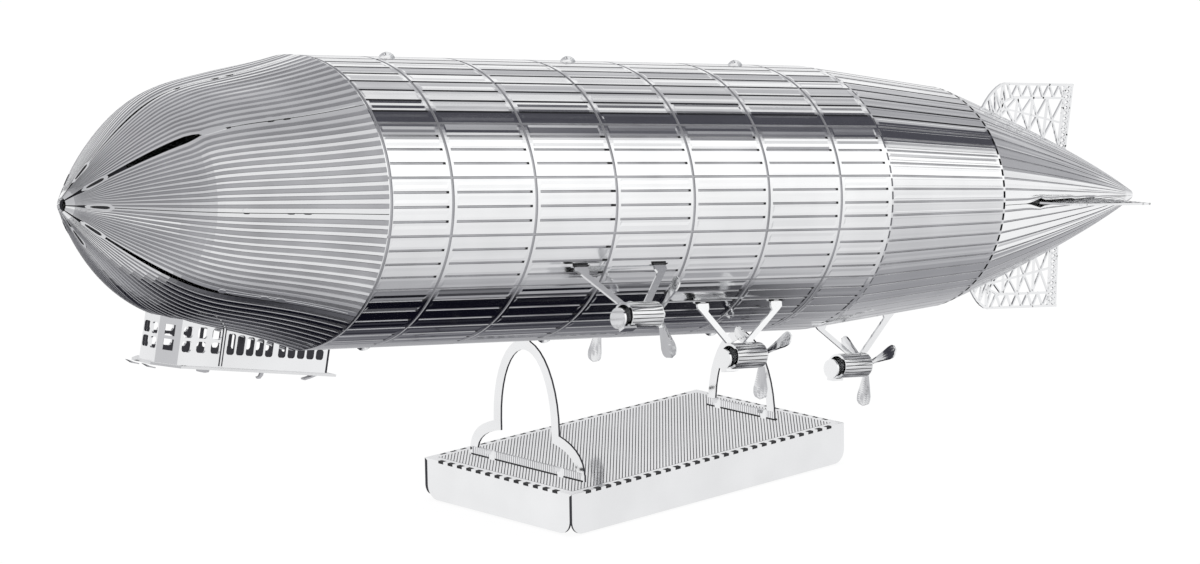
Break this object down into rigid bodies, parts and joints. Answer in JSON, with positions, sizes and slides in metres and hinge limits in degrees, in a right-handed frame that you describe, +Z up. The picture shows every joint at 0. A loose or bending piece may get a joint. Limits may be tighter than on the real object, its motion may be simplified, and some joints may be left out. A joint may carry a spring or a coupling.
{
  "type": "airship model",
  "caption": "Rigid airship display model folded from polished steel sheet, with gondola, engine nacelles with turning propellers, lattice fins and an arched stand.",
  "frame": {"origin": "middle of the bounding box's length and width, at the bottom of the stand's flaps", "axes": "-X towards the nose, +X towards the tail, +Y starboard, +Z up; the hull rides nose up, turned 8 degrees about Y"},
  "size_m": [0.1638, 0.0408, 0.0534],
  "materials": {
    "polished_steel": "mirror polished, with dull etched lines",
    "etched_steel": "dull etched"
  },
  "bodies": {
    "airship": {"hull_skin_port": "polished_steel", "hull_skin_starboard": "polished_steel", "nose_petal_1": "polished_steel", "nose_petal_2": "polished_steel", "nose_petal_3": "polished_steel", "nose_petal_4": "polished_steel", "nose_petal_5": "polished_steel", "nose_petal_6": "polished_steel", "nose_petal_7": "polished_steel", "nose_petal_8": "polished_steel", "nose_cap": "etched_steel", "tail_skin_port": "polished_steel", "tail_skin_starboard": "polished_steel", "tail_petal_1": "polished_steel", "tail_petal_2": "polished_steel", "tail_petal_3": "polished_steel", "tail_petal_4": "polished_steel", "tail_petal_5": "polished_steel", "tail_petal_6": "polished_steel", "tail_petal_7": "polished_steel", "tail_petal_8": "polished_steel", "fin_upper": "etched_steel", "fin_starboard": "etched_steel", "fin_lower": "etched_steel", "fin_port": "etched_steel", "gondola_floor": "polished_steel", "gondola_cab": "polished_steel", "gondola_side_port": "polished_steel", "gondola_side_starboard": "polished_steel", "gondola_stern": "polished_steel", "nacelle_tube_1": "etched_steel", "nacelle_tube_2": "etched_steel", "nacelle_tube_3": "etched_steel", "nacelle_tube_4": "etched_steel", "nacelle_tube_5": "etched_steel", "nacelle_disc_1": "polished_steel", "nacelle_disc_2": "polished_steel", "nacelle_disc_3": "polished_steel", "nacelle_disc_4": "polished_steel", "nacelle_disc_5": "polished_steel", "nacelle_back_1": "polished_steel", "nacelle_back_2": "polished_steel", "nacelle_back_3": "polished_steel", "nacelle_back_4": "polished_steel", "nacelle_back_5": "polished_steel", "nacelle_struts_1": "polished_steel", "nacelle_struts_2": "polished_steel", "nacelle_struts_3": "polished_steel", "nacelle_struts_4": "polished_steel", "nacelle_struts_5": "polished_steel", "base_tray": "polished_steel", "front_arch": "polished_steel", "rear_arch": "polished_steel"},
    "propeller_front_port": {"propeller_1": "polished_steel"},
    "propeller_front_starboard": {"propeller_2": "polished_steel"},
    "propeller_middle_port": {"propeller_3": "polished_steel"},
    "propeller_middle_starboard": {"propeller_4": "polished_steel"},
    "propeller_aft": {"propeller_5": "polished_steel"}
  },
  "joints": [
    {"name": "propeller_1_spin", "type": "hinge", "parent": "airship", "child": "propeller_front_port", "pos_m": [-0.018, -0.01757, 0.02375], "axis": [0.9902, 0, -0.1393], "range_deg": [-30, 30]},
    {"name": "propeller_2_spin", "type": "hinge", "parent": "airship", "child": "propeller_front_starboard", "pos_m": [-0.018, 0.01757, 0.02375], "axis": [0.9902, 0, -0.1393], "range_deg": [-30, 30]},
    {"name": "propeller_3_spin", "type": "hinge", "parent": "airship", "child": "propeller_middle_port", "pos_m": [0.00268, -0.01274, 0.01503], "axis": [0.9902, 0, -0.1393], "range_deg": [-30, 30]},
    {"name": "propeller_4_spin", "type": "hinge", "parent": "airship", "child": "propeller_middle_starboard", "pos_m": [0.00268, 0.01274, 0.01503], "axis": [0.9902, 0, -0.1393], "range_deg": [-30, 30]},
    {"name": "propeller_5_spin", "type": "hinge", "parent": "airship", "child": "propeller_aft", "pos_m": [0.03369, 0, 0.00643], "axis": [0.9902, 0, -0.1393], "range_deg": [-30, 30]}
  ]
}
